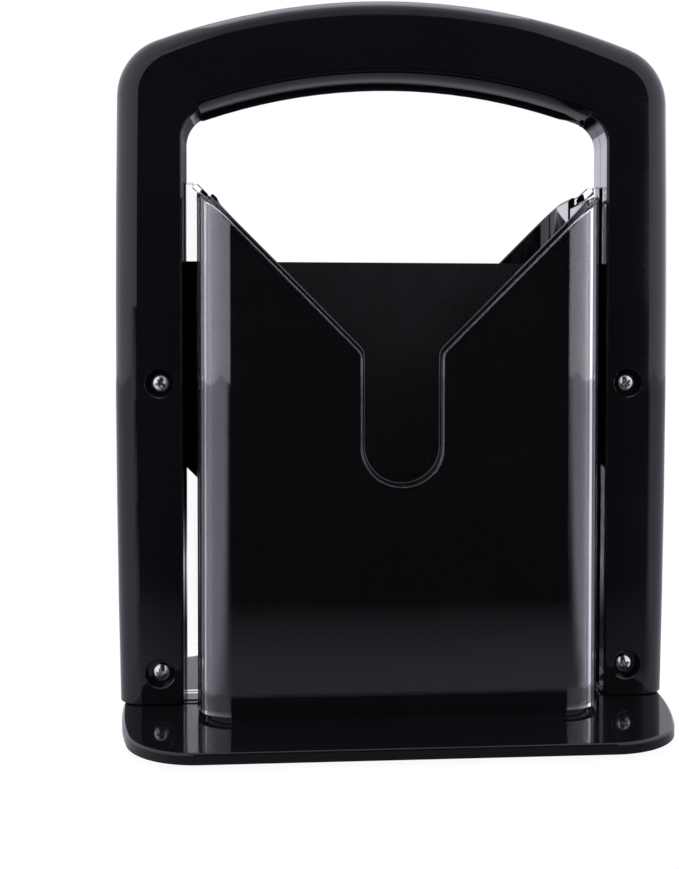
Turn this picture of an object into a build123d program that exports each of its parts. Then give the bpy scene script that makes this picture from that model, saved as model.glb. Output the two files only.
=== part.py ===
"""Bagel guillotine slicer: a two-shell arch handle with a V blade and clear shields over a slotted cradle.

Millimetres, +Z up, X across the arch, -Y towards the user.
The origin is on the table, under the middle of the base.
"""

import os
from math import asin, cos, degrees, radians, sin, sqrt, tan

from build123d import *

os.makedirs("parts", exist_ok=True)

# Base plate and feet
base_width = 178.4
base_depth = 110.0
base_thickness = 3.4
base_end_radius = 140.0
base_corner_radius = 24.0
base_edge_rounding = 0.8
base_skin = 2.2
base_rim = 2.0
base_rib = 1.4
base_rib_spacing = 34.0
foot_radius = 6.5
foot_drop = 1.6
foot_inset_x = 20.2
foot_inset_y = 21.0
foot_ring = 1.3
foot_rounding = 0.6
foot_dish_radius = 3.6
foot_dish_depth = 0.5

# Arch handle, moulded as a front and a rear shell
arch_width = 183.9
arch_height = 235.5
arch_depth = 18.0
arch_top_radius = 221.0
arch_side_radius = 5000.0
arch_widest_height = 120.0
arch_corner_radius = 20.0
arch_edge_rounding = 8.0
arch_wall = 2.4
leg_width = 22.4
bar_depth = 26.8
window_top_radius = 190.0
window_corner_radius = 10.0
window_edge_rounding = 1.0
parting_chamfer = 0.2
leg_float = 0.4
grip_half_length = 64.0
grip_slope = 8.0
grip_crown_radius = 33.0
grip_rounding = 2.2
grip_rib_radius = 1.3
grip_rib_inset = 4.5
bar_peg_spacing = 42.0
bar_peg_radius = 1.6
bar_peg_height = 3.4

# Screws of the handle
screw_inset = 14.95
upper_screw_share = 1 / 3
lower_screw_height = 15.2
screw_head_radius = 2.8
screw_head_height = 1.9
screw_head_crown = 0.5
screw_shank_radius = 1.5
screw_length = 12.4
counterbore_radius = 4.55
counterbore_depth = 3.0
counterbore_chamfer = 0.35
boss_radius = 6.2
spigot_radius = 2.6
spigot_clearance = 0.1
thread_clearance = 0.05
shank_clearance = 0.2

# Clear shields
shield_front = 29.0
shield_side_gap = 5.3
shield_corner_radius = 11.7
shield_thickness = 2.4
shield_float = 1.9
shield_drop = 60.6
notch_depth = 68.0
rear_notch_rise = 2.8
slot_depth = 28.9
shield_slot_half_width = 12.5
shield_edge_rounding = 0.8
flange_inset = 9.95
flange_root_rounding = 1.2

# Cradle
cradle_gap = 0.7
cradle_wall = 2.2
cradle_notch_rise = 1.85
cradle_slot_half_width = 11.5
cradle_slot_rise = 1.0
cradle_edge_rounding = 0.6
cradle_seat = 0.8
cradle_seat_clearance = 0.15
cradle_floor_height = 14.6
cradle_floor_wall = 2.2
cradle_rib = 1.8
cradle_boss_x = 46.0
cradle_boss_inset = 11.0
cradle_boss_radius = 4.2
cradle_boss_height = 13.0
cradle_pilot_depth = 9.5
notch_root_radius = 4.6
notch_rim_min = 3.0

# Blade
blade_thickness = 1.2
blade_drop = 25.5
blade_edge_drop = 2.0
blade_tip_radius = 3.0
blade_way = 3.2
blade_corner_radius = 2.0
grind_radius = 7.0
grind_angle = 9.0
grind_pitch = 8.2
grind_land = 0.15
grind_lead = 2.0
grinds_per_side = 9

# Screws under the base
base_screw_head_radius = 3.0
base_screw_head_height = 1.1
base_screw_length = 8.0

# Values that follow from the driving ones
base_top = foot_drop + base_thickness
base_ceiling = base_top - base_skin
leg_bottom = base_top + leg_float
half_depth = arch_depth / 2
window_width = arch_width - 2 * leg_width
window_height = arch_height - bar_depth
window_arc_height = window_height - window_top_radius
window_axis = Axis((0, 0, window_arc_height), (0, 1, 0))
stack_half = blade_thickness / 2 + shield_thickness
shield_bottom = base_top + shield_float
shield_height = arch_height - shield_drop
shield_half_width = window_width / 2 - shield_side_gap
shield_flange_reach = arch_width / 2 - flange_inset
front_notch_height = shield_height - notch_depth
rear_notch_height = front_notch_height + rear_notch_rise
slot_bottom = front_notch_height - slot_depth
shield_inner_front = shield_front - shield_thickness
shield_inner_half_width = shield_half_width - shield_thickness
cradle_front = shield_inner_front - cradle_gap
cradle_half_width = shield_inner_half_width - cradle_gap
cradle_corner_radius = shield_corner_radius - shield_thickness - cradle_gap
cradle_bottom = base_top - cradle_seat
cradle_rear = blade_way / 2
blade_height = shield_height - blade_drop
blade_half_width = shield_flange_reach
blade_edge_height = cradle_floor_height - blade_edge_drop
counterbore_floor = half_depth - counterbore_depth
cradle_boss_y = cradle_front - cradle_boss_inset
screw_x = arch_width / 2 - screw_inset
blade_side_height = blade_edge_height + screw_x
upper_screw_height = blade_side_height + upper_screw_share * (blade_height - blade_side_height)
screw_heights = {"upper": upper_screw_height, "lower": lower_screw_height}
sides = {"left": -1, "right": 1}
ends = {"front": -1, "rear": 1}
screw_points = [(side * screw_x, z) for side in sides.values() for z in screw_heights.values()]
foot_x = base_width / 2 - foot_inset_x
foot_y = base_depth / 2 - foot_inset_y
foot_points = [(x * foot_x, y * foot_y) for x in sides.values() for y in ends.values()]
cradle_screw_points = [
    (side * cradle_boss_x, end * cradle_boss_y) for side in sides.values() for end in ends.values()
]
bar_peg_height_on_arch = (arch_height + window_height) / 2
bar_peg_points = [(step * bar_peg_spacing, bar_peg_height_on_arch) for step in (-1, 0, 1)]


def save(builder, name):
    """Label a finished piece and write it."""
    builder.part.label = name
    export_step(builder.part, f"parts/{name}.step")


def height_band(low, high):
    """Centre and length of a vertical stretch."""
    return (low + high) / 2, high - low


def arch_half(inset, rounding):
    """One half of the arch as a solid, its faces moved in by inset, for the shell and for its hollow."""
    top = arch_height - inset
    bottom = leg_bottom + inset
    window_top = window_height + inset
    middle, tall = height_band(bottom, top)
    window_middle, window_tall = height_band(leg_bottom - inset, window_top)
    side_shift = arch_side_radius - arch_width / 2
    with BuildPart() as half:
        with BuildSketch(Plane.XZ) as outline:
            with Locations((0, middle)):
                Rectangle(arch_width + arch_wall, tall)
            for side in sides.values():
                with Locations((side * side_shift, arch_widest_height)):
                    Circle(arch_side_radius - inset, mode=Mode.INTERSECT)
            with Locations((0, arch_height - arch_top_radius)):
                Circle(arch_top_radius - inset, mode=Mode.INTERSECT)
            fillet(outline.vertices().group_by(Axis.Y)[-1], arch_corner_radius - inset)
        extrude(amount=half_depth - inset)
        front_edges = half.faces().sort_by(Axis.Y)[0].edges()
        fillet(front_edges.sort_by(Axis.Z)[1:], arch_edge_rounding - inset)
        with BuildSketch(Plane.XZ) as window:
            with Locations((0, window_middle)):
                Rectangle(window_width + 2 * inset, window_tall)
            with Locations((0, window_arc_height)):
                Circle(window_top_radius + inset, mode=Mode.INTERSECT)
            fillet(window.vertices().group_by(Axis.Y)[-1], window_corner_radius + inset)
        extrude(amount=half_depth, mode=Mode.SUBTRACT)
        if rounding:
            window_edges = half.edges(Select.LAST).group_by(Axis.Y)[0]
            above_foot = window_edges.filter_by(lambda edge: edge.center().Z > leg_bottom + rounding)
            fillet(above_foot, rounding)
            chamfer(half.faces().sort_by(Axis.Y)[-1].edges(), parting_chamfer)
    return half.part


def grip_stretch(half_length):
    """Plane at the left end of a stretch of the window's top arc, and its angle in degrees."""
    angle = asin(half_length / window_top_radius)
    across = (cos(angle), 0, sin(angle))
    return Plane(window_axis.position, x_dir=(0, 1, 0), z_dir=across), degrees(2 * angle)


# Front and rear arch shells
slot_middle, slot_tall = height_band(shield_bottom, shield_height)
arch_body = arch_half(0, window_edge_rounding)
arch_hollow = arch_half(arch_wall, 0)
grip_lead = radians(grip_slope)
grip_tail = asin(sin(grip_lead) + half_depth / grip_crown_radius)
grip_rise = grip_crown_radius * (cos(grip_lead) - cos(grip_tail))
grip_top = window_top_radius + grip_rise + 2 * grip_rounding
grip_plane, grip_angle = grip_stretch(grip_half_length)
backing_plane, backing_angle = grip_stretch(grip_half_length + arch_wall)

with BuildPart() as front_arch_shell:
    add(arch_body)
    add(arch_hollow, mode=Mode.SUBTRACT)
    with BuildSketch(backing_plane):
        with BuildLine():
            Polyline(
                (0, window_top_radius + arch_wall / 2),
                (0, window_top_radius + arch_wall),
                (-half_depth + arch_wall / 2, window_top_radius + grip_rise + arch_wall),
                (-half_depth + arch_wall / 2, window_top_radius + arch_wall / 2),
                close=True,
            )
        make_face()
    revolve(axis=window_axis, revolution_arc=backing_angle)
    with BuildSketch(grip_plane) as slope:
        with BuildLine():
            parting_point = (0, window_top_radius)
            lead = (-cos(grip_lead), sin(grip_lead))
            crown = JernArc(parting_point, lead, grip_crown_radius, -degrees(grip_tail - grip_lead))
            Polyline(
                crown @ 1,
                (-half_depth, grip_top),
                (-half_depth - grip_rounding, grip_top),
                (-half_depth - grip_rounding, window_top_radius - grip_rounding),
                (0, window_top_radius - grip_rounding),
                parting_point,
            )
        make_face()
        inner_corners = slope.vertices().group_by(Axis.X)[-2]
        fillet(inner_corners.sort_by(Axis.Y)[0], grip_rounding)
    revolve(axis=window_axis, revolution_arc=grip_angle, mode=Mode.SUBTRACT)
    with BuildSketch(Plane.XZ.offset(stack_half)):
        with Locations(*screw_points):
            Circle(boss_radius)
    extrude(amount=half_depth - stack_half - arch_wall / 2)
    with BuildSketch(Plane.XZ):
        for side in sides.values():
            slot_inner = window_width / 2 - arch_wall
            slot_outer = shield_flange_reach + spigot_clearance
            with Locations((side * (slot_inner + slot_outer) / 2, slot_middle)):
                Rectangle(slot_outer - slot_inner, slot_tall)
    extrude(amount=stack_half, mode=Mode.SUBTRACT)
    with BuildSketch(Plane.XZ):
        with Locations(*screw_points):
            Circle(spigot_radius)
    extrude(amount=stack_half + arch_wall)
    with Locations(*[Plane.XZ.offset(half_depth) * Location(point) for point in screw_points]):
        CounterBoreHole(screw_shank_radius + shank_clearance, counterbore_radius, counterbore_depth)
    rims = front_arch_shell.faces().sort_by(Axis.Y)[0].edges().filter_by(GeomType.CIRCLE)
    chamfer(rims.filter_by(lambda edge: edge.radius < boss_radius), counterbore_chamfer)
    with BuildSketch(Plane.XZ):
        with Locations(*bar_peg_points):
            Circle(bar_peg_radius + arch_wall / 2)
            Circle(bar_peg_radius + spigot_clearance, mode=Mode.SUBTRACT)
    extrude(amount=half_depth - arch_wall / 2)
save(front_arch_shell, "front_arch_shell")

with BuildPart() as rear_arch_shell:
    add(arch_body.mirror(Plane.XZ))
    add(arch_hollow.mirror(Plane.XZ), mode=Mode.SUBTRACT)
    with BuildSketch(grip_plane):
        with Locations((grip_rib_inset, window_top_radius)):
            Circle(grip_rib_radius)
    revolve(axis=window_axis, revolution_arc=grip_angle)
    rib_end_height = window_arc_height + sqrt(window_top_radius**2 - grip_half_length**2)
    for side in sides.values():
        with Locations((side * grip_half_length, grip_rib_inset, rib_end_height)):
            Sphere(grip_rib_radius)
    with BuildSketch(Plane.XZ.offset(-stack_half)):
        with Locations(*screw_points):
            Circle(boss_radius - arch_wall / 2)
    extrude(amount=-(half_depth - stack_half - arch_wall / 2))
    with BuildSketch(Plane.XZ):
        for side in sides.values():
            with Locations((side * (slot_inner + slot_outer) / 2, slot_middle)):
                Rectangle(slot_outer - slot_inner, slot_tall)
    extrude(amount=-stack_half, mode=Mode.SUBTRACT)
    with BuildSketch(Plane.XZ):
        with Locations(*screw_points):
            Circle(spigot_radius)
    extrude(amount=-(stack_half + arch_wall))
    with BuildSketch(Plane.XZ):
        with Locations(*screw_points):
            Circle(screw_shank_radius + thread_clearance)
    extrude(amount=-(screw_length - counterbore_floor + shank_clearance), mode=Mode.SUBTRACT)
    with BuildSketch(Plane.XZ):
        with Locations(*bar_peg_points):
            Circle(bar_peg_radius + arch_wall / 2)
    extrude(amount=-(half_depth - arch_wall / 2))
    with BuildSketch(Plane.XZ):
        with Locations(*bar_peg_points):
            Circle(bar_peg_radius)
    extrude(amount=bar_peg_height)
save(rear_arch_shell, "rear_arch_shell")


# Clear shields: a hat section cut by the V notch and the finger slot
def notch_outline(root_height, slot_half_width, slot_floor, reach):
    """V notch and its round-bottomed slot, open at the top, as a flat sketch of width and height."""
    shoulder = root_height + slot_half_width
    slot_left = (-slot_half_width, slot_floor + slot_half_width)
    slot_right = (slot_half_width, slot_floor + slot_half_width)
    with BuildSketch() as outline:
        with BuildLine():
            Polyline(
                slot_right,
                (slot_half_width, shoulder),
                (reach, root_height + reach),
                (reach, arch_height),
                (-reach, arch_height),
                (-reach, root_height + reach),
                (-slot_half_width, shoulder),
                slot_left,
            )
            ThreePointArc(slot_left, (0, slot_floor), slot_right)
        make_face()
        shoulders = [corner for corner in outline.vertices() if abs(corner.Y - shoulder) < blade_thickness]
        fillet(shoulders, notch_root_radius)
    return outline.sketch


def notch_rim(cut_edges, inner_face):
    """The long edges that a notch cut leaves on the front wall and its round corners."""
    on_wall = cut_edges.filter_by(lambda edge: edge.center().Y < -inner_face + shield_corner_radius)
    return on_wall.filter_by(lambda edge: edge.length > notch_rim_min)


def upright_box(half_width, front, rear, corner):
    """Plan of a box whose two front corners are round, open ground for walls and hollows."""
    with BuildSketch() as plan:
        with Locations((0, -(front + rear) / 2)):
            Rectangle(2 * half_width, front - rear)
        fillet(plan.vertices().group_by(Axis.Y)[0], corner)
    return plan.sketch


def shield_wall(notch_height):
    """Clear shield on the user's side, with its V notch at the given height."""
    flange_rear = blade_thickness / 2
    with BuildPart() as wall:
        with BuildSketch(Plane.XY.offset(shield_bottom)) as hat:
            add(upright_box(shield_half_width, shield_front, flange_rear, shield_corner_radius))
            with Locations((0, -(stack_half + flange_rear) / 2)):
                Rectangle(2 * shield_flange_reach, shield_thickness)
            roots = hat.vertices().group_by(Axis.Y)[-2]
            root_limit = shield_flange_reach - shield_thickness
            inner_roots = roots.filter_by(lambda corner: abs(corner.X) < root_limit)
            fillet(inner_roots, flange_root_rounding)
            add(
                upright_box(
                    shield_inner_half_width,
                    shield_inner_front,
                    -blade_thickness,
                    shield_corner_radius - shield_thickness,
                ),
                mode=Mode.SUBTRACT,
            )
        extrude(amount=shield_height - shield_bottom)
        with BuildSketch(Plane.XZ):
            notch_reach = shield_half_width + shield_thickness
            add(notch_outline(notch_height, shield_slot_half_width, slot_bottom, notch_reach))
        extrude(amount=shield_front + shield_thickness, mode=Mode.SUBTRACT)
        fillet(notch_rim(wall.edges(Select.LAST), shield_inner_front), shield_edge_rounding)
        with BuildSketch(Plane.XZ):
            with Locations(*screw_points):
                Circle(spigot_radius + spigot_clearance)
        extrude(amount=stack_half + shield_thickness, mode=Mode.SUBTRACT)
    return wall.part


with BuildPart() as front_shield:
    add(shield_wall(front_notch_height))
save(front_shield, "front_shield")

with BuildPart() as rear_shield:
    add(shield_wall(rear_notch_height).mirror(Plane.XZ))
save(rear_shield, "rear_shield")

# Blade: a plate whose V edge is ground in scallops from the front
with BuildPart() as blade:
    with BuildSketch(Plane.XZ.offset(-blade_thickness / 2)) as blade_outline:
        with BuildLine():
            Polyline(
                (0, blade_edge_height),
                (blade_half_width, blade_edge_height + blade_half_width),
                (blade_half_width, blade_height),
                (-blade_half_width, blade_height),
                (-blade_half_width, blade_edge_height + blade_half_width),
                close=True,
            )
        make_face()
        fillet(blade_outline.vertices().group_by(Axis.Y)[0], blade_tip_radius)
        fillet(blade_outline.vertices().group_by(Axis.Y)[-1], blade_corner_radius)
    extrude(amount=blade_thickness)
    grind_planes = []
    for side in sides.values():
        into_blade = Vector(-side, 0, 1).normalized()
        along_edge = Vector(side, 0, 1).normalized()
        axis = into_blade * cos(radians(grind_angle)) - Vector(0, sin(radians(grind_angle)), 0)
        for step in range(grinds_per_side):
            start = Vector(0, blade_thickness / 2 - grind_land - grind_radius, blade_edge_height)
            start += along_edge * (grind_pitch * (step + 1)) - into_blade * grind_lead
            start += Vector(0, grind_lead * tan(radians(grind_angle)), 0)
            grind_planes.append(Plane(origin=start, x_dir=along_edge, z_dir=axis))
    with BuildSketch(*grind_planes):
        Circle(grind_radius)
    extrude(amount=grind_pitch * 2, mode=Mode.SUBTRACT)
    with BuildSketch(Plane.XZ.offset(-blade_thickness)):
        with Locations(*[point for point in screw_points if point[1] == upper_screw_height]):
            Circle(spigot_radius + spigot_clearance)
    extrude(amount=2 * blade_thickness, mode=Mode.SUBTRACT)
save(blade, "blade")

# Handle screws, driven from the front
for height_name, screw_height in screw_heights.items():
    for side_name, side in sides.items():
        head_plane = Plane.XZ.offset(counterbore_floor)
        with BuildPart() as handle_screw:
            with BuildSketch(head_plane):
                with Locations((side * screw_x, screw_height)):
                    Circle(screw_head_radius)
            extrude(amount=screw_head_height)
            fillet(handle_screw.edges().sort_by(Axis.Y)[0], screw_head_crown)
            with BuildSketch(head_plane):
                with Locations((side * screw_x, screw_height)):
                    Circle(screw_shank_radius)
            extrude(amount=-screw_length)
            chamfer(handle_screw.edges().sort_by(Axis.Y)[-1], screw_shank_radius / 2)
        save(handle_screw, f"{height_name}_{side_name}_screw")

# Cradle: walled boxes with a sloping V floor on ribs, open towards the blade
def cradle_half(notch_height):
    """Cradle half on the user's side, with its V notch at the given height."""
    top = notch_height + cradle_half_width
    floor_run = cradle_half_width - cradle_wall / 2
    floor_drop = cradle_floor_wall * sqrt(2)
    boss_points = [point for point in cradle_screw_points if point[1] < 0]
    with BuildPart() as half:
        with BuildSketch(Plane.XZ.offset(cradle_rear)):
            with BuildLine():
                Polyline(
                    (0, cradle_floor_height),
                    (floor_run, cradle_floor_height + floor_run),
                    (floor_run, cradle_floor_height + floor_run - floor_drop),
                    (0, cradle_floor_height - floor_drop),
                    (-floor_run, cradle_floor_height + floor_run - floor_drop),
                    (-floor_run, cradle_floor_height + floor_run),
                    close=True,
                )
            make_face()
            for step in (-2, -1, 0, 1, 2):
                rib_x = step * cradle_boss_x / 2
                rib_top = cradle_floor_height + abs(rib_x) - floor_drop / 2
                rib_middle, rib_tall = height_band(base_top, rib_top)
                with Locations((rib_x, rib_middle)):
                    Rectangle(cradle_rib, rib_tall)
        extrude(amount=cradle_front - cradle_wall / 2 - cradle_rear)
        with BuildSketch(Plane.XY.offset(base_top)):
            with Locations(*boss_points):
                Circle(cradle_boss_radius)
        extrude(amount=cradle_boss_height)
        with BuildSketch(Plane.XY.offset(cradle_bottom)):
            add(upright_box(cradle_half_width, cradle_front, cradle_rear, cradle_corner_radius))
        extrude(amount=top - cradle_bottom, mode=Mode.INTERSECT)
        with BuildSketch(Plane.XY.offset(cradle_bottom)):
            add(upright_box(cradle_half_width, cradle_front, cradle_rear, cradle_corner_radius))
            add(
                upright_box(
                    cradle_half_width - cradle_wall,
                    cradle_front - cradle_wall,
                    -cradle_rear,
                    cradle_corner_radius - cradle_wall,
                ),
                mode=Mode.SUBTRACT,
            )
        extrude(amount=top - cradle_bottom)
        with BuildSketch(Plane.XY.offset(base_top)):
            with Locations(*boss_points):
                Circle(screw_shank_radius + thread_clearance)
        extrude(amount=cradle_pilot_depth, mode=Mode.SUBTRACT)
        with BuildSketch(Plane.XZ):
            slot_floor = slot_bottom + cradle_slot_rise
            add(notch_outline(notch_height, cradle_slot_half_width, slot_floor, shield_half_width))
        extrude(amount=shield_front, mode=Mode.SUBTRACT)
        fillet(notch_rim(half.edges(Select.LAST), cradle_front - cradle_wall), cradle_edge_rounding)
    return half.part


with BuildPart() as front_cradle:
    add(cradle_half(front_notch_height + cradle_notch_rise))
save(front_cradle, "front_cradle")

with BuildPart() as rear_cradle:
    add(cradle_half(rear_notch_height + cradle_notch_rise).mirror(Plane.XZ))
save(rear_cradle, "rear_cradle")


# Base plate: a shallow tray turned upside down, with grooves for the cradle walls
def base_plan(inset):
    """Outline of the base: bowed ends and round corners."""
    end_shift = base_end_radius - base_width / 2
    with BuildSketch() as plan:
        Rectangle(base_width - 2 * inset, base_depth - 2 * inset)
        for side in sides.values():
            with Locations((side * end_shift, 0)):
                Circle(base_end_radius - inset, mode=Mode.INTERSECT)
        fillet(plan.vertices(), base_corner_radius - inset)
    return plan.sketch


with BuildPart() as base_plate:
    with BuildSketch(Plane.XY.offset(foot_drop)):
        add(base_plan(0))
    extrude(amount=base_thickness)
    fillet(base_plate.faces().sort_by(Axis.Z)[-1].edges(), base_edge_rounding)
    with BuildSketch(Plane.XY.offset(foot_drop)):
        add(base_plan(base_rim))
        for step in (-2, -1, 0, 1, 2):
            with Locations((step * base_rib_spacing, 0)):
                Rectangle(base_rib, base_depth, mode=Mode.SUBTRACT)
        Rectangle(base_width, base_rib, mode=Mode.SUBTRACT)
        with Locations(*foot_points):
            Circle(foot_radius + foot_ring, mode=Mode.SUBTRACT)
            Circle(foot_radius + spigot_clearance)
    extrude(amount=base_ceiling - foot_drop, mode=Mode.SUBTRACT)
    with BuildSketch(Plane.XY.offset(cradle_bottom)):
        add(
            upright_box(
                cradle_half_width + cradle_seat_clearance,
                cradle_front + cradle_seat_clearance,
                cradle_rear - cradle_seat_clearance,
                cradle_corner_radius + cradle_seat_clearance,
            )
        )
        add(
            upright_box(
                cradle_half_width - cradle_wall - cradle_seat_clearance,
                cradle_front - cradle_wall - cradle_seat_clearance,
                -cradle_rear,
                cradle_corner_radius - cradle_wall - cradle_seat_clearance,
            ),
            mode=Mode.SUBTRACT,
        )
        mirror(about=Plane.XZ)
    extrude(amount=cradle_seat, mode=Mode.SUBTRACT)
    with BuildSketch(Plane.XY.offset(foot_drop)):
        with Locations(*cradle_screw_points):
            Circle(screw_shank_radius + shank_clearance)
    extrude(amount=base_thickness, mode=Mode.SUBTRACT)
save(base_plate, "base_plate")

# Screws that hold the cradle, driven from below
for end_name, end in ends.items():
    for side_name, side in sides.items():
        screw_place = (side * cradle_boss_x, end * cradle_boss_y)
        with BuildPart() as cradle_screw:
            with BuildSketch(Plane.XY.offset(base_ceiling)):
                with Locations(screw_place):
                    Circle(base_screw_head_radius)
            extrude(amount=-base_screw_head_height)
            fillet(cradle_screw.edges().sort_by(Axis.Z)[0], screw_head_crown)
            with BuildSketch(Plane.XY.offset(base_ceiling)):
                with Locations(screw_place):
                    Circle(screw_shank_radius)
            extrude(amount=base_screw_length)
            chamfer(cradle_screw.edges().sort_by(Axis.Z)[-1], screw_shank_radius / 2)
        save(cradle_screw, f"{end_name}_{side_name}_cradle_screw")

# Rubber feet
for end_name, end in ends.items():
    for side_name, side in sides.items():
        with BuildPart() as foot:
            with BuildSketch():
                with Locations((side * foot_x, end * foot_y)):
                    Circle(foot_radius)
            extrude(amount=base_ceiling)
            fillet(foot.edges().sort_by(Axis.Z)[0], foot_rounding)
            with BuildSketch():
                with Locations((side * foot_x, end * foot_y)):
                    Circle(foot_dish_radius)
            extrude(amount=foot_dish_depth, mode=Mode.SUBTRACT)
        save(foot, f"{end_name}_{side_name}_foot")
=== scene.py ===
"""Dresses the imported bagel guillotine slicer: plastics, clear shields, coated blade, screws and stage.

Laid out as a Blender add-on and run as a script. Metres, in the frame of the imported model.
"""

from math import cos, pi, radians, sin

import bmesh
import bpy
from bpy.props import FloatProperty, FloatVectorProperty, PointerProperty
from bpy.types import Operator, Panel, PropertyGroup
from mathutils import Matrix, Vector


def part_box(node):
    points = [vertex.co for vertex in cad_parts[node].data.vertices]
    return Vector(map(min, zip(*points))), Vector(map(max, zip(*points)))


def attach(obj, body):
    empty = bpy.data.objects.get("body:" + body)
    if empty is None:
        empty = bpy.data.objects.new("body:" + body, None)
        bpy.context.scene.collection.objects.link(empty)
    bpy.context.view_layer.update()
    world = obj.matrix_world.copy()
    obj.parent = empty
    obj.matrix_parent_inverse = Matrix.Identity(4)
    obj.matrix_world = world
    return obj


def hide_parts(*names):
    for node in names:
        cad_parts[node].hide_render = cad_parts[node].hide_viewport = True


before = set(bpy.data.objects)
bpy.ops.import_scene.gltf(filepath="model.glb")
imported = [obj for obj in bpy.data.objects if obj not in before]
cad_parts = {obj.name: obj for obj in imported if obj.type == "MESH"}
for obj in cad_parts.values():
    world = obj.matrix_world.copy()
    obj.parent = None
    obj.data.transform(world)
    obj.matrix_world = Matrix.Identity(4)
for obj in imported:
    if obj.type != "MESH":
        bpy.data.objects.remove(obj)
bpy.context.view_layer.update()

bl_info = {
    "name": "Bagel Slicer Looks",
    "version": (1, 0, 0),
    "blender": (4, 5, 0),
    "location": "3D View > Sidebar > Bagel Slicer",
    "description": "Builds the finishes, screws and stage of a bagel guillotine slicer",
    "category": "Object",
}

MM = 0.001
MERGE_DISTANCE = 0.002 * MM

UP = (0, 0, 1)
DOWN = (0, 0, -1)
TOWARDS_USER = (0, -1, 0)
AWAY_FROM_USER = (0, 1, 0)

WHITE = (1.0, 1.0, 1.0, 1.0)
BLACK = (0.0, 0.0, 0.0, 1.0)

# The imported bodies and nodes, and for each screw the turn of its cross recess in degrees
HANDLE_BODY = "handle"
BASE_BODY = "cradle_base"
ARCH_NODES = ("front_arch_shell", "rear_arch_shell")
SHIELD_NODES = ("front_shield", "rear_shield")
CRADLE_NODES = ("front_cradle", "rear_cradle")
FEET = ("front_left_foot", "front_right_foot", "rear_left_foot", "rear_right_foot")
HANDLE_SCREWS = {
    "upper_left_screw": 20.0,
    "upper_right_screw": 36.0,
    "lower_left_screw": 8.0,
    "lower_right_screw": 25.0,
}
CRADLE_SCREWS = {
    "front_left_cradle_screw": 12.0,
    "front_right_cradle_screw": 40.0,
    "rear_left_cradle_screw": 31.0,
    "rear_right_cradle_screw": 5.0,
}

# The arch's outline and the rounding along it, as in the solids
ARCH_TOP_RADIUS = 221.0 * MM
ARCH_SIDE_RADIUS = 5000.0 * MM
ARCH_CORNER_RADIUS = 20.0 * MM
ARCH_WIDEST_BELOW_TOP = 115.5 * MM
ARCH_ROUNDING = 8.0 * MM
ARCH_BAND = 1.5 * ARCH_ROUNDING

# A packed normal further than this from the true one belongs to another face
LARGEST_MEND = radians(15)

# The black plastics
BLACK_IOR = 1.47
CRADLE_IOR = 1.54
CRADLE_ADDED_ROUGHNESS = 0.02
WIPED_ADDED_ROUGHNESS = 0.09
WAVE_DEPTH = 0.2 * MM
BASE_WAVE_DEPTH = 0.12 * MM
PEEL_DEPTH = 0.0025 * MM

# The clear plastic
CLEAR_IOR = 1.585
CLEAR_ROUGHNESS = (0.012, 0.09)
CLEAR_WAVE_DEPTH = 0.12 * MM

# A face of the blade is ground where its normal's Y is under the first number, and coated over the second
GROUND_FACING = (0.988, 0.9965)

# How far the ground edge reaches above the slope of the V
GROUND_REACH = 11.5 * MM
GROUND_FADE = 1.0 * MM

# The screws: a domed head, a neck, rings of thread on a 3 mm shank and a blunt point
SHORT_SCREW = 10.0 * MM
SHORT_HEAD = 1.1 * MM
LONG_HEAD = 1.9 * MM
DOME_SHARE = 0.34
DOME_STEPS = 12
SHANK_RADIUS = 1.5 * MM
NECK_RADIUS = 1.02 * SHANK_RADIUS
NECK_LENGTH = 0.35 * MM
THREAD_PITCH = 1.1 * MM
THREAD_ROOT = 0.72 * SHANK_RADIUS
THREAD_CREST = 0.99 * SHANK_RADIUS
THREAD_ROOT_FLAT = 0.2 * MM
THREAD_CREST_DROP = 0.62 * THREAD_PITCH
POINT_RADIUS = 0.4 * SHANK_RADIUS
POINT_LENGTH = 0.35 * MM
LARGEST_REACH_SHARE = 0.74
LARGEST_DEPTH_SHARE = 0.9
WING_TIP_SHARES = (0.42, 0.62, 1.0)
SMOOTH_ANGLE = radians(32)

# The photograph's frame and the camera that fits it
PICTURE_WIDTH = 679
PICTURE_HEIGHT = 869
SENSOR = 36.0
FOCAL_PIXELS = 1177.5
CENTRE_COLUMN = 378.6
CENTRE_ROW = 369.8
CAMERA_PLACE = Vector((-35.1, -392.6, 123.7)) * MM
CAMERA_YAW = radians(4.32)
CAMERA_PITCH = radians(-1.46)
CAMERA_ROLL = radians(0.08)
CLIP_START = 10 * MM

# The room and its one lamp
ROOM_COLOUR = (0.975, 0.955, 1.08)
LAMP_PLACE = (0.02, 0.5, 1.5)
LAMP_TARGET = (0.0, 0.0, 0.12)
LAMP_SIZE = (0.9, 0.8)
LAMP_RADIANCE = 1.4
WHITE_THROUGH_PLASTIC = 1.2

# The floor, which is nearly all glow for the camera and a table in reflections
FLOOR_SIZE = (6.0, 6.0)
FLOOR_PLACE = (0, 0, -0.2 * MM)
FLOOR_COLOUR = (0.8, 0.8, 0.8, 1.0)
FLOOR_GLOW = 1.05
FLOOR_GLOW_SHARE = 0.9
TABLE_COLOUR = (0.97, 0.96, 1.0, 1.0)
TABLE_GRAIN = (0.7, 0.74)

# The table's painted shade: its middle line, its half width at the slicer and how that widens with the
# distance
SHADE_MIDDLE = 20 * MM
SHADE_HALF_WIDTH = 80 * MM
SHADE_WIDENING = 0.4

# Where the shade thins out sideways, as shares of its half width
WIDE_SHADE_SHARES = (0.65, 1.5)
NARROW_SHADE_SHARES = (0.15, 0.45)

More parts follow.
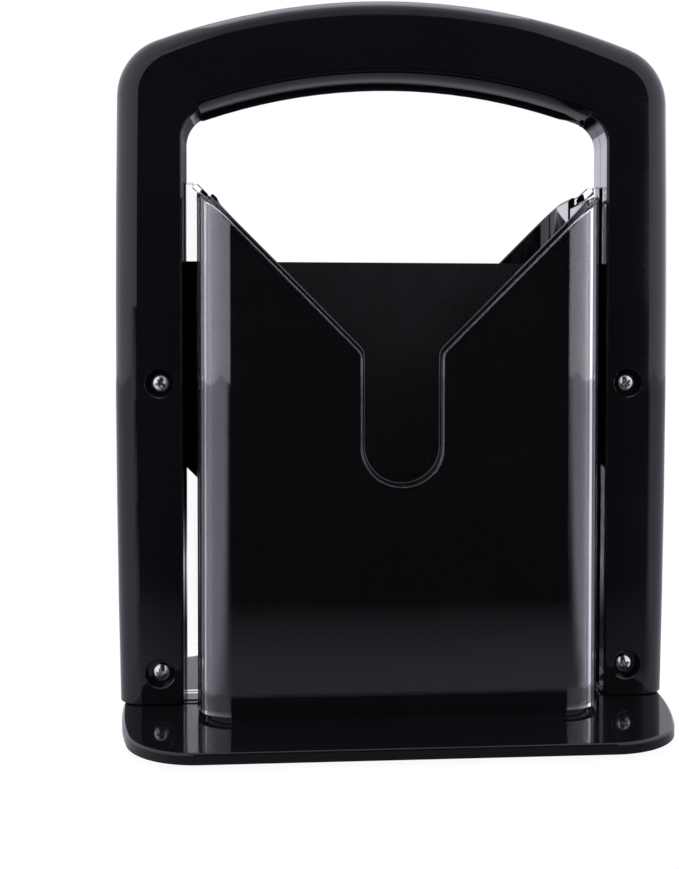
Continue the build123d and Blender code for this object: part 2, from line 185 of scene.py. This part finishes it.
# Where the shade gathers and clears, as distances from the slicer's middle towards the user
NEAR_GATHERING = (30 * MM, 60 * MM)
FRONT_GATHERING = (60 * MM, 215 * MM)
REAR_GATHERING = (-255 * MM, -125 * MM)
REAR_CLEARING = (-30 * MM, 0.0)
FAR_CLEARING = (-315 * MM, -270 * MM)
NEAR_SHADE = 0.76
REAR_SHADE = 0.95

# The black card in front of the slicer, which only reflections and the clear shields show
CARD_LOW = Vector((-0.184, -0.52, 0.0))
CARD_HIGH = Vector((0.245, -0.52, 0.76))
CARD_SIDE_FADE = 6 * MM
CARD_TOP_FADE = 110 * MM
CARD_COLOUR = (0.003, 0.003, 0.003, 1.0)


def colour_property(name, description, default):
    """A colour that a user may change."""
    return FloatVectorProperty(
        name=name, description=description, default=default, subtype="COLOR", size=3, min=0.0, max=1.0
    )


def length_property(name, description, default):
    """A length that a user may change."""
    return FloatProperty(name=name, description=description, default=default, min=0.0, subtype="DISTANCE")


class BagelSlicerFinish(PropertyGroup):
    """Colours and surface values of the slicer."""

    plastic_colour: colour_property("Plastic", "Colour of the black plastic", (0.0064, 0.0063, 0.0074))
    shield_colour: colour_property("Shield", "Tint of the clear shields", (0.975, 0.98, 0.985))
    cradle_colour: colour_property("Cradle", "Colour of the cradle's plastic", (0.0048, 0.0047, 0.0055))
    blade_colour: colour_property("Blade coating", "Colour of the blade's coating", (0.014, 0.014, 0.0155))
    steel_colour: colour_property("Steel", "Colour of the screws and ground edge", (0.74, 0.735, 0.72))
    rubber_colour: colour_property("Rubber", "Colour of the feet", (0.022, 0.022, 0.023))
    plastic_roughness: FloatProperty(
        name="Plastic roughness",
        description="Roughness of the polished plastic",
        default=0.045,
        min=0.0,
        max=1.0,
        subtype="FACTOR",
    )


class BagelSlicerSizes(PropertyGroup):
    """Sizes of the pieces made here."""

    recess_reach: length_property(
        "Recess reach", "Half the length of the cross recess in a screw head", 2.05 * MM
    )
    recess_width: length_property("Recess width", "Width of one wing of the cross recess", 1.15 * MM)
    recess_depth: length_property("Recess depth", "Depth of the cross recess", 1.5 * MM)


def finish_of(context):
    """The colours and surface values in use."""
    return context.scene.bagel_slicer_finish


def sizes_of(context):
    """The sizes in use."""
    return context.scene.bagel_slicer_sizes


class Nodes:
    """A node tree, made node by node."""

    def __init__(self, tree):
        self.tree = tree
        self.tree.nodes.clear()

    def feed(self, socket, value):
        """Links a value that is a socket and sets any other."""
        if isinstance(value, bpy.types.NodeSocket):
            self.tree.links.new(value, socket)
        else:
            socket.default_value = value

    def add(self, kind, values=None, **settings):
        """Adds a node with its settings, and feeds the values to its inputs."""
        node = self.tree.nodes.new(kind)
        for key, value in settings.items():
            setattr(node, key, value)
        for key, value in (values or {}).items():
            self.feed(node.inputs[key], value)
        return node

    def spread(self, value, low, high, start=0.0, end=1.0, interpolation="LINEAR"):
        """Maps a value from start and end to low and high, and holds it past them."""
        values = {"Value": value, "From Min": start, "From Max": end, "To Min": low, "To Max": high}
        return self.add("ShaderNodeMapRange", values, interpolation_type=interpolation).outputs["Result"]

    def rising(self, value, start, end, top=1.0):
        """0 up to start, then a straight ramp to top at end."""
        return self.spread(value, low=0.0, high=top, start=start, end=end)

    def falling(self, value, start, end, top=1.0):
        """top up to start, then a straight ramp to 0 at end."""
        return self.spread(value, low=top, high=0.0, start=start, end=end)

    def easing_off(self, value, start, end):
        """1 up to start, then a smooth fall to 0 at end."""
        return self.spread(value, low=1.0, high=0.0, start=start, end=end, interpolation="SMOOTHSTEP")

    def math(self, operation, first, second=0.0):
        """One step of arithmetic."""
        return self.add("ShaderNodeMath", {0: first, 1: second}, operation=operation).outputs["Value"]

    def absolute(self, value):
        """A value without its sign."""
        return self.math("ABSOLUTE", value)

    def product(self, first, *others):
        """Values multiplied together."""
        for other in others:
            first = self.math("MULTIPLY", first, other)
        return first

    def parts(self, vector):
        """The X, Y and Z of a vector."""
        return self.add("ShaderNodeSeparateXYZ", {"Vector": vector}).outputs

    def mixed(self, factor, first, second):
        """Mixes two shaders."""
        return self.add("ShaderNodeMixShader", {0: factor, 1: first, 2: second}).outputs["Shader"]


class Shader(Nodes):
    """A material's nodes, with patterns on Object coordinates."""

    def __init__(self, name):
        self.material = bpy.data.materials.new(name)
        self.material.use_nodes = True
        super().__init__(self.material.node_tree)
        self.output = self.add("ShaderNodeOutputMaterial")
        self.coordinates = self.add("ShaderNodeTexCoord").outputs["Object"]

    def noise(self, scale, detail=2.0, roughness=0.5, stretch=None):
        """A noise value over the object, finer along an axis with a larger stretch."""
        vector = self.coordinates
        if stretch is not None:
            vector = self.add("ShaderNodeMapping", {"Vector": vector, "Scale": stretch}).outputs["Vector"]
        values = {"Vector": vector, "Scale": scale, "Detail": detail, "Roughness": roughness}
        return self.add("ShaderNodeTexNoise", values).outputs["Fac"]

    def blend(self, factor, first, second):
        """Mixes two colours."""
        node = self.add("ShaderNodeMix", data_type="RGBA")
        sockets = {socket.identifier: socket for socket in (*node.inputs, *node.outputs)}
        self.feed(sockets["Factor_Float"], factor)
        self.feed(sockets["A_Color"], first)
        self.feed(sockets["B_Color"], second)
        return sockets["Result_Color"]

    def bump(self, height, depth, strength=1.0, normal=None):
        """A bump of the given depth in metres, on top of another where one is given."""
        values = {"Height": height, "Distance": depth, "Strength": strength}
        if normal is not None:
            values["Normal"] = normal
        return self.add("ShaderNodeBump", values).outputs["Normal"]

    def principled(self, values):
        """A Principled surface."""
        return self.add("ShaderNodeBsdfPrincipled", values).outputs["BSDF"]

    def diffuse(self, colour):
        """A matt surface without gloss."""
        return self.add("ShaderNodeBsdfDiffuse", {"Color": colour}).outputs["BSDF"]

    def transparent(self, colour=WHITE):
        """Nothing but a tint."""
        return self.add("ShaderNodeBsdfTransparent", {"Color": colour}).outputs["BSDF"]

    def show(self, surface):
        """Links a shader to the output and returns the material."""
        self.tree.links.new(surface, self.output.inputs["Surface"])
        return self.material


def opaque(colour, gain=1.0):
    """A colour times a gain, with an alpha of one."""
    return (*[min(channel * gain, 1.0) for channel in colour], 1.0)


def polished_plastic(name, colour, roughness, ior, wave_depth):
    """Moulded gloss plastic: slow waves from shrinkage, orange peel and faint wiping marks."""
    shader = Shader(name)
    patches = shader.noise(scale=26.0, detail=3.0)
    wipes = shader.noise(scale=7.0, detail=4.0, roughness=0.62, stretch=(14.0, 60.0, 260.0))
    marks = shader.rising(wipes, start=0.52, end=0.8)
    haze = shader.product(marks, shader.spread(patches, low=0.3, high=1.0, start=0.35, end=0.7))
    waves = shader.bump(shader.noise(scale=24.0, detail=1.0), depth=wave_depth)
    peel = shader.bump(shader.noise(scale=950.0), depth=PEEL_DEPTH, normal=waves)
    plastic = shader.principled(
        {
            "Base Color": shader.blend(patches, opaque(colour, 0.8), opaque(colour, 1.25)),
            "Roughness": shader.spread(haze, low=roughness, high=roughness + WIPED_ADDED_ROUGHNESS),
            "IOR": ior,
            "Normal": peel,
        }
    )
    return shader.show(plastic)


def clear_plastic(name, colour):
    """Clear moulded styrene with flow waves and faint wiping haze, which lets the lamp's light through."""
    shader = Shader(name)
    patches = shader.noise(scale=18.0, detail=3.0)
    wipes = shader.noise(scale=9.0, detail=4.0, roughness=0.6, stretch=(22.0, 60.0, 150.0))
    marks = shader.rising(wipes, start=0.54, end=0.85)
    haze = shader.product(marks, shader.spread(patches, low=0.2, high=1.0, start=0.4, end=0.7))
    plastic = shader.principled(
        {
            "Base Color": opaque(colour),
            "Roughness": shader.spread(haze, *CLEAR_ROUGHNESS),
            "IOR": CLEAR_IOR,
            "Transmission Weight": 1.0,
            "Normal": shader.bump(shader.noise(scale=19.0, detail=1.5), depth=CLEAR_WAVE_DEPTH),
        }
    )
    shadow_ray = shader.add("ShaderNodeLightPath").outputs["Is Shadow Ray"]
    return shader.show(shader.mixed(shadow_ray, plastic, shader.transparent(opaque(colour))))


def coated_blade(name, colour, steel, edge_height):
    """Black coating over steel, with the V edge ground bright in scallops."""
    shader = Shader(name)
    place = shader.parts(shader.coordinates)
    normal = shader.parts(shader.add("ShaderNodeTexCoord").outputs["Normal"])
    tilted = shader.falling(shader.absolute(normal["Y"]), *GROUND_FACING)
    rise = shader.math("SUBTRACT", place["Z"], shader.absolute(place["X"]))
    ground_top = edge_height + GROUND_REACH
    ground = shader.product(tilted, shader.falling(rise, start=ground_top, end=ground_top + GROUND_FADE))
    coat = shader.blend(shader.noise(scale=70.0, detail=4.0), opaque(colour, 0.75), opaque(colour, 1.5))
    coat_gloss = shader.spread(shader.noise(scale=420.0, detail=3.0), low=0.2, high=0.34)
    lines = shader.noise(scale=160.0, detail=3.0)
    bright = shader.blend(lines, opaque(steel, 0.82), opaque(steel, 1.08))
    bright_gloss = shader.spread(lines, low=0.16, high=0.34)
    blade = shader.principled(
        {
            "Base Color": shader.blend(ground, coat, bright),
            "Metallic": ground,
            "Roughness": shader.spread(ground, low=coat_gloss, high=bright_gloss),
            "IOR": 1.45,
            "Normal": shader.bump(shader.noise(scale=2600.0), depth=0.005 * MM, strength=0.8),
        }
    )
    return shader.show(blade)


def bright_steel(name, colour):
    """Plated steel with small spots and light wear."""
    shader = Shader(name)
    spots = shader.noise(scale=1500.0, detail=4.0)
    steel = shader.principled(
        {
            "Base Color": shader.blend(spots, opaque(colour, 0.72), opaque(colour, 1.15)),
            "Metallic": 1.0,
            "Roughness": shader.spread(shader.noise(scale=700.0, detail=3.0), low=0.1, high=0.24),
            "Normal": shader.bump(spots, depth=0.012 * MM, strength=0.7),
        }
    )
    return shader.show(steel)


def moulded_rubber(name, colour):
    """Matt rubber with a fine grain and dust in it."""
    shader = Shader(name)
    grain = shader.noise(scale=1900.0, detail=3.0)
    dust = shader.rising(shader.noise(scale=260.0, detail=4.0), start=0.5, end=0.8)
    rubber = shader.principled(
        {
            "Base Color": shader.blend(dust, opaque(colour), opaque(colour, 2.4)),
            "Roughness": shader.spread(grain, low=0.62, high=0.86),
            "Normal": shader.bump(grain, depth=0.03 * MM, strength=0.9),
        }
    )
    return shader.show(rubber)


def dress(node, material):
    """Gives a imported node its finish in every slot."""
    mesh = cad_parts[node].data
    mesh.materials.clear()
    mesh.materials.append(material)


def object_from(shape, name):
    """Turns a bmesh into a linked object and frees it."""
    mesh = bpy.data.meshes.new(name)
    shape.to_mesh(mesh)
    shape.free()
    made = bpy.data.objects.new(name, mesh)
    bpy.context.scene.collection.objects.link(made)
    return made


class ArchOutline:
    """The arch from the front: a top arc, nearly straight side arcs and the corner arcs between them."""

    def __init__(self, high):
        self.top = Vector((0.0, high.z - ARCH_TOP_RADIUS))
        self.side = Vector((high.x - ARCH_SIDE_RADIUS, high.z - ARCH_WIDEST_BELOW_TOP))
        gap = self.side - self.top
        from_top = ARCH_TOP_RADIUS - ARCH_CORNER_RADIUS
        from_side = ARCH_SIDE_RADIUS - ARCH_CORNER_RADIUS
        along = (from_top**2 - from_side**2 + gap.length_squared) / (2 * gap.length)
        across = (from_top**2 - along**2) ** 0.5
        unit = gap.normalized()
        corners = [self.top + unit * along + Vector((-unit.y, unit.x)) * across * sign for sign in (-1, 1)]
        self.corner = max(corners, key=lambda point: point.y)

    def outward(self, x, z):
        """The direction square to the outline at a point near it."""
        place = Vector((abs(x), z))
        way = place - self.corner
        if (self.corner - self.side).cross(way) < 0:
            way = place - self.side
        elif way.cross(self.corner - self.top) < 0:
            way = place - self.top
        way.normalize()
        return Vector((way.x if x >= 0 else -way.x, 0.0, way.y))

    def holds_rounding(self, x, z):
        """Whether a point is in the band along the outline, well away from the window."""
        from_top = (Vector((x, z)) - self.top).length
        return abs(x) > self.corner.x or from_top > ARCH_TOP_RADIUS - ARCH_BAND


def merged_copy(node, name):
    """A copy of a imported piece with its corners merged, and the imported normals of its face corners."""
    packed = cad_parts[node].data.copy()
    kept = packed.attributes.new("packed_normal", "FLOAT_VECTOR", "CORNER")
    for corner, row in zip(packed.corner_normals, kept.data):
        row.vector = corner.vector
    shape = bmesh.new()
    shape.from_mesh(packed)
    bpy.data.meshes.remove(packed)
    bmesh.ops.remove_doubles(shape, verts=shape.verts, dist=MERGE_DISTANCE)
    copy = object_from(shape, name)
    carried = copy.data.attributes["packed_normal"]
    normals = [row.vector.copy() for row in carried.data]
    copy.data.attributes.remove(carried)
    return copy, normals


def evened_copy(node, name):
    """A merged copy of an arch shell, its outer rounding with the normals of a true quarter round.

    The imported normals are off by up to 11 degrees there, and leave the edge of a reflection ragged.
    """
    copy, normals = merged_copy(node, name)
    mesh = copy.data
    mesh.shade_smooth()
    low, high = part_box(node)
    outline = ArchOutline(high)
    face_y = high.y if high.y > -low.y else low.y
    facing = 1.0 if face_y > 0 else -1.0
    for loop in mesh.loops:
        place = mesh.vertices[loop.vertex_index].co
        share = 1.0 - abs(face_y - place.y) / ARCH_ROUNDING
        if share > 0.0 and outline.holds_rounding(place.x, place.z):
            side = outline.outward(place.x, place.z)
            true = side * (1.0 - share**2) ** 0.5 + Vector((0.0, facing * share, 0.0))
            if true.angle(normals[loop.index]) < LARGEST_MEND:
                normals[loop.index] = true
    mesh.normals_split_custom_set(normals)
    return copy


class SLICER_OT_arch(Operator):
    """Finish both shells of the arch handle in polished black plastic"""

    bl_idname = "bagel_slicer.arch"
    bl_label = "Arch Handle"

    def execute(self, context):
        colour = finish_of(context).plastic_colour
        roughness = finish_of(context).plastic_roughness
        plastic = polished_plastic("arch_black_plastic", colour, roughness, BLACK_IOR, WAVE_DEPTH)
        for node in ARCH_NODES:
            shell = evened_copy(node, node + "_skin")
            shell.data.materials.append(plastic)
            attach(shell, HANDLE_BODY)
            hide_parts(node)
        return {"FINISHED"}


class SLICER_OT_shields(Operator):
    """Finish the two clear shields"""

    bl_idname = "bagel_slicer.shields"
    bl_label = "Clear Shields"

    def execute(self, context):
        clear = clear_plastic("shield_clear_plastic", finish_of(context).shield_colour)
        for node in SHIELD_NODES:
            dress(node, clear)
        return {"FINISHED"}


class SLICER_OT_blade(Operator):
    """Finish the coated blade and its ground edge"""

    bl_idname = "bagel_slicer.blade"
    bl_label = "Blade"

    def execute(self, context):
        finish = finish_of(context)
        low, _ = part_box("blade")
        coating = coated_blade("blade_black_coating", finish.blade_colour, finish.steel_colour, low.z)
        dress("blade", coating)
        return {"FINISHED"}


class SLICER_OT_cradle(Operator):
    """Finish the cradle halves and the base plate in black plastic"""

    bl_idname = "bagel_slicer.cradle"
    bl_label = "Cradle and Base"

    def execute(self, context):
        finish = finish_of(context)
        roughness = finish.plastic_roughness
        duller = roughness + CRADLE_ADDED_ROUGHNESS
        cradle = polished_plastic(
            "cradle_black_plastic", finish.cradle_colour, duller, CRADLE_IOR, WAVE_DEPTH
        )
        base = polished_plastic(
            "base_black_plastic", finish.plastic_colour, roughness, BLACK_IOR, BASE_WAVE_DEPTH
        )
        for node in CRADLE_NODES:
            dress(node, cradle)
        dress("base_plate", base)
        return {"FINISHED"}


class SLICER_OT_feet(Operator):
    """Finish the rubber feet"""

    bl_idname = "bagel_slicer.feet"
    bl_label = "Feet"

    def execute(self, context):
        rubber = moulded_rubber("foot_rubber", finish_of(context).rubber_colour)
        for node in FEET:
            dress(node, rubber)
        return {"FINISHED"}


def turned(profile, sides=48):
    """A bmesh turned round Z from points of radius and height, closed on the axis."""
    shape = bmesh.new()
    points = [shape.verts.new((radius, 0.0, height)) for radius, height in profile]
    edges = [shape.edges.new(pair) for pair in zip(points, points[1:])]
    bmesh.ops.spin(
        shape,
        geom=points + edges,
        cent=(0.0, 0.0, 0.0),
        axis=UP,
        dvec=(0.0, 0.0, 0.0),
        angle=2 * pi,
        steps=sides,
        use_merge=True,
        use_duplicate=False,
    )
    bmesh.ops.remove_doubles(shape, verts=shape.verts, dist=MERGE_DISTANCE)
    bmesh.ops.recalc_face_normals(shape, faces=shape.faces)
    return shape


def screw_profile(radius, head, length):
    """Points of radius and height down a screw, from the top of its dome. The head sits on height 0."""
    dome = [step / DOME_STEPS for step in range(DOME_STEPS + 1)]
    profile = [(radius * share, head - DOME_SHARE * radius * share**2) for share in dome]
    profile += [(radius, 0.0), (NECK_RADIUS, 0.0)]
    for index in range(int((length - head) / THREAD_PITCH) - 1):
        start = -NECK_LENGTH - index * THREAD_PITCH
        profile += [
            (THREAD_ROOT, start - THREAD_ROOT_FLAT),
            (THREAD_CREST, start - THREAD_CREST_DROP),
            (THREAD_ROOT, start - THREAD_PITCH),
        ]
    point = head - length
    return [*profile, (POINT_RADIUS, point + POINT_LENGTH), (0.0, point)]


def cross_cutter(reach, width, depth, top):
    """The shape of a cross-slot driver's tip: two tapering wings with their mouth at the height top."""
    shape = bmesh.new()
    for turn in (0.0, pi / 2):
        wing = bmesh.ops.create_cube(shape, size=1.0)["verts"]
        bmesh.ops.scale(shape, verts=wing, vec=(2 * reach, width, 2 * depth))
        tip = [vert for vert in wing if vert.co.z < 0]
        bmesh.ops.scale(shape, verts=tip, vec=WING_TIP_SHARES)
        bmesh.ops.rotate(shape, verts=wing, cent=(0, 0, 0), matrix=Matrix.Rotation(turn, 3, "Z"))
        bmesh.ops.translate(shape, verts=wing, vec=(0, 0, top))
    return shape


def cut_away(piece, cutter):
    """Cuts one object out of another and removes it."""
    cut = piece.modifiers.new("recess", "BOOLEAN")
    cut.operation = "DIFFERENCE"
    cut.solver = "EXACT"
    cut.use_self = True
    cut.object = cutter
    graph = bpy.context.evaluated_depsgraph_get()
    mesh = bpy.data.meshes.new_from_object(piece.evaluated_get(graph))
    mesh.name = piece.name
    piece.modifiers.clear()
    piece.data = mesh
    bpy.data.objects.remove(cutter)


def pan_head_screw(name, node, sizes, turn, head_axis):
    """A cross-recess screw in the place of a packed one; head_axis points out of its head."""
    low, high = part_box(node)
    axis = Vector(head_axis)
    along = max(range(3), key=lambda index: abs(axis[index]))
    length = high[along] - low[along]
    radius = max(high[index] - low[index] for index in range(3) if index != along) / 2
    head = SHORT_HEAD if length < SHORT_SCREW else LONG_HEAD
    reach = min(sizes.recess_reach, radius * LARGEST_REACH_SHARE)
    depth = min(sizes.recess_depth, head * LARGEST_DEPTH_SHARE)
    screw = object_from(turned(screw_profile(radius, head, length)), name)
    cut_away(screw, object_from(cross_cutter(reach, sizes.recess_width, depth, head), name + "_cutter"))
    seat = (low + high) / 2
    seat[along] = (high[along] - head) if axis[along] > 0 else (low[along] + head)
    facing = axis.to_track_quat("Z", "Y").to_matrix().to_4x4()
    screw.data.transform(Matrix.Translation(seat) @ facing @ Matrix.Rotation(radians(turn), 4, "Z"))
    screw.data.shade_smooth()
    screw.data.set_sharp_from_angle(angle=SMOOTH_ANGLE)
    return screw


class SLICER_OT_screws(Operator):
    """Make the cross-recess screws of the handle and of the cradle"""

    bl_idname = "bagel_slicer.screws"
    bl_label = "Screws"

    def execute(self, context):
        steel = bright_steel("screw_bright_steel", finish_of(context).steel_colour)
        sizes = sizes_of(context)
        sets = ((HANDLE_SCREWS, HANDLE_BODY, TOWARDS_USER), (CRADLE_SCREWS, BASE_BODY, DOWN))
        for screws, body, head_axis in sets:
            for node, turn in screws.items():
                screw = pan_head_screw(node + "_cross_head", node, sizes, turn, head_axis)
                screw.data.materials.append(steel)
                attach(screw, body)
                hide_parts(node)
        return {"FINISHED"}


def softbox(name, place, target, size, radiance, colour):
    """A rectangular lamp of even brightness, turned to a point."""
    data = bpy.data.lights.new(name, "AREA")
    data.shape = "RECTANGLE"
    data.size, data.size_y = size
    data.energy = radiance * pi * size[0] * size[1]
    data.color = colour
    lamp = bpy.data.objects.new(name, data)
    bpy.context.scene.collection.objects.link(lamp)
    lamp.location = place
    lamp.rotation_mode = "QUATERNION"
    lamp.rotation_quaternion = (Vector(target) - Vector(place)).to_track_quat("-Z", "Y")
    lamp.visible_camera = False


def seen_rays(nodes):
    """Whether a ray is seen, also straight through clear plastic, and how bright white is for it."""
    path = nodes.add("ShaderNodeLightPath").outputs
    through = nodes.math("GREATER_THAN", path["Is Transmission Ray"], path["Glossy Depth"])
    seen = nodes.math("MAXIMUM", path["Is Camera Ray"], through)
    return seen, nodes.spread(through, low=1.0, high=WHITE_THROUGH_PLASTIC)


def room_level(room):
    """How bright the room is in a direction, whose X, Y and Z lie between -1 and 1."""
    way = room.parts(room.add("ShaderNodeTexCoord").outputs["Generated"])
    aside = room.absolute(way["X"])
    # The side walls are the brightest
    walls = room.spread(aside, low=0.98, high=1.35, start=0.3, end=0.95)
    # The ceiling above the user is dim in its middle
    towards_user = room.falling(way["Y"], start=-0.4, end=-0.05)
    overhead = room.rising(way["Z"], start=0.6, end=0.72)
    middle = room.falling(aside, start=0.2, end=0.34)
    ceiling = room.spread(room.product(towards_user, overhead, middle), low=1.0, high=0.5)
    # The wall behind is brighter at its left and darker at its right, low down
    behind = room.rising(way["Y"], start=0.85, end=0.96)
    low_down = room.falling(way["Z"], start=0.15, end=0.4)
    left_to_right = room.spread(way["X"], low=1.1, high=-0.86, start=-0.2, end=0.02)
    return room.math("ADD", room.product(walls, ceiling), room.product(behind, low_down, left_to_right))


def set_world(scene):
    """White for the camera and through clear plastic; a soft room for light and reflections."""
    scene.world = bpy.data.worlds.new("studio")
    scene.world.use_nodes = True
    room = Nodes(scene.world.node_tree)
    seen, white = seen_rays(room)
    bright = room.add("ShaderNodeBackground", {"Color": WHITE, "Strength": white})
    soft = room.add("ShaderNodeBackground", {"Color": (*ROOM_COLOUR, 1.0), "Strength": room_level(room)})
    surface = room.mixed(seen, soft.outputs["Background"], bright.outputs["Background"])
    room.add("ShaderNodeOutputWorld", {"Surface": surface})


def table_shade(shader):
    """How dark the table is painted at a place: painted shade before the slicer and behind it, and painted
    black further on.
    """
    place = shader.parts(shader.coordinates)
    forward = shader.product(place["Y"], -1.0)
    widening = shader.product(shader.absolute(forward), SHADE_WIDENING)
    half_width = shader.math("ADD", widening, SHADE_HALF_WIDTH)
    aside = shader.absolute(shader.math("SUBTRACT", place["X"], SHADE_MIDDLE))
    share = shader.math("DIVIDE", aside, half_width)
    wide = shader.easing_off(share, *WIDE_SHADE_SHARES)
    narrow = shader.easing_off(share, *NARROW_SHADE_SHARES)
    near = shader.rising(forward, *NEAR_GATHERING, top=NEAR_SHADE)
    further = shader.rising(forward, *FRONT_GATHERING, top=1.0 - NEAR_SHADE)
    before = shader.product(wide, shader.math("ADD", near, further))
    gathering = shader.rising(forward, *REAR_GATHERING, top=REAR_SHADE)
    clearing = shader.falling(forward, *REAR_CLEARING, top=REAR_SHADE)
    behind = shader.product(wide, shader.math("MINIMUM", gathering, clearing))
    far_behind = shader.product(narrow, shader.falling(forward, *FAR_CLEARING))
    return shader.math("MAXIMUM", before, shader.math("MAXIMUM", far_behind, behind))


def floor_material():
    """Pale floor, white for the camera but for a faint shadow, and a table with painted shade in
    reflections.
    """
    shader = Shader("floor_pale")
    grain = shader.spread(shader.noise(scale=240.0, detail=3.0), *TABLE_GRAIN)
    # The table's grain, darkened by painted shade and painted black where the table_shade says
    grey = shader.product(grain, shader.spread(table_shade(shader), low=1.0, high=0.0))
    table = shader.diffuse(shader.blend(grey, BLACK, TABLE_COLOUR))
    seen, white = seen_rays(shader)
    glow = shader.add("ShaderNodeEmission", {"Color": WHITE, "Strength": shader.product(white, FLOOR_GLOW)})
    pale = shader.mixed(FLOOR_GLOW_SHARE, shader.diffuse(FLOOR_COLOUR), glow.outputs["Emission"])
    return shader.show(shader.mixed(seen, table, pale))


def card_material():
    """Black card whose sides and top fade out."""
    shader = Shader("card_black")
    place = shader.parts(shader.coordinates)
    left = shader.rising(place["X"], start=CARD_LOW.x, end=CARD_LOW.x + CARD_SIDE_FADE)
    right = shader.falling(place["X"], start=CARD_HIGH.x - CARD_SIDE_FADE, end=CARD_HIGH.x)
    top = shader.falling(place["Z"], start=CARD_HIGH.z - CARD_TOP_FADE, end=CARD_HIGH.z)
    black = shader.diffuse(CARD_COLOUR)
    return shader.show(shader.mixed(shader.product(left, right, top), shader.transparent(), black))


def flat_sheet(name, size, place, normal, material):
    """A flat rectangle of the stage."""
    shape = bmesh.new()
    bmesh.ops.create_grid(shape, x_segments=1, y_segments=1, size=0.5)
    bmesh.ops.scale(shape, verts=shape.verts, vec=(*size, 1.0))
    turn = Vector(normal).to_track_quat("Z", "Y").to_matrix().to_4x4()
    bmesh.ops.transform(shape, verts=shape.verts, matrix=Matrix.Translation(place) @ turn)
    sheet = object_from(shape, name)
    sheet.data.materials.append(material)
    return sheet


def photo_camera():
    """The camera whose view fits the photograph."""
    data = bpy.data.cameras.new("camera")
    data.sensor_fit = "AUTO"
    data.sensor_width = SENSOR
    data.lens = SENSOR * FOCAL_PIXELS / PICTURE_HEIGHT
    data.shift_x = (PICTURE_WIDTH / 2 - CENTRE_COLUMN) / PICTURE_HEIGHT
    data.shift_y = (CENTRE_ROW - PICTURE_HEIGHT / 2) / PICTURE_HEIGHT
    data.clip_start = CLIP_START
    camera = bpy.data.objects.new("camera", data)
    bpy.context.scene.collection.objects.link(camera)
    level = cos(CAMERA_PITCH)
    ahead = Vector((sin(CAMERA_YAW) * level, cos(CAMERA_YAW) * level, sin(CAMERA_PITCH)))
    right = Vector((cos(CAMERA_YAW), -sin(CAMERA_YAW), 0.0))
    above = right.cross(ahead)
    basis = Matrix((right, above, -ahead)).transposed() @ Matrix.Rotation(CAMERA_ROLL, 3, "Z")
    camera.matrix_world = Matrix.Translation(CAMERA_PLACE) @ basis.to_4x4()
    return camera


class SLICER_OT_stage(Operator):
    """Set the floor, the dark card, the lamp, the world and the camera"""

    bl_idname = "bagel_slicer.stage"
    bl_label = "Stage"

    def execute(self, context):
        scene = context.scene
        scene.view_settings.view_transform = "Standard"
        floor = flat_sheet("floor", FLOOR_SIZE, FLOOR_PLACE, UP, floor_material())
        card_size = (CARD_HIGH.x - CARD_LOW.x, CARD_HIGH.z - CARD_LOW.z)
        card_middle = (CARD_LOW + CARD_HIGH) / 2
        card = flat_sheet("dark_card", card_size, card_middle, AWAY_FROM_USER, card_material())
        card.visible_camera = False
        card.visible_diffuse = False
        card.visible_shadow = False
        softbox("softbox_above", LAMP_PLACE, LAMP_TARGET, LAMP_SIZE, LAMP_RADIANCE, ROOM_COLOUR)
        set_world(scene)
        scene.camera = photo_camera()
        return {"FINISHED"}


STEPS = (
    SLICER_OT_arch,
    SLICER_OT_shields,
    SLICER_OT_blade,
    SLICER_OT_cradle,
    SLICER_OT_feet,
    SLICER_OT_screws,
    SLICER_OT_stage,
)


class SLICER_PT_panel(Panel):
    """Lists the slicer's pieces and their values"""

    bl_label = "Bagel Slicer"
    bl_idname = "SLICER_PT_panel"
    bl_space_type = "VIEW_3D"
    bl_region_type = "UI"
    bl_category = "Bagel Slicer"

    def draw(self, context):
        for group in (finish_of(context), sizes_of(context)):
            for key in group.__annotations__:
                self.layout.prop(group, key)
        for step in STEPS:
            self.layout.operator(step.bl_idname)


CLASSES = (BagelSlicerFinish, BagelSlicerSizes, *STEPS, SLICER_PT_panel)


def register():
    """Registers the classes and hangs the values on the scene."""
    for item in CLASSES:
        bpy.utils.register_class(item)
    bpy.types.Scene.bagel_slicer_finish = PointerProperty(type=BagelSlicerFinish)
    bpy.types.Scene.bagel_slicer_sizes = PointerProperty(type=BagelSlicerSizes)


def unregister():
    """Takes back what register did."""
    del bpy.types.Scene.bagel_slicer_sizes
    del bpy.types.Scene.bagel_slicer_finish
    for item in reversed(CLASSES):
        bpy.utils.unregister_class(item)


def main():
    """Builds the looks step by step."""
    register()
    for step in STEPS:
        group, name = step.bl_idname.split(".")
        getattr(getattr(bpy.ops, group), name)()


if __name__ == "__main__":
    main()
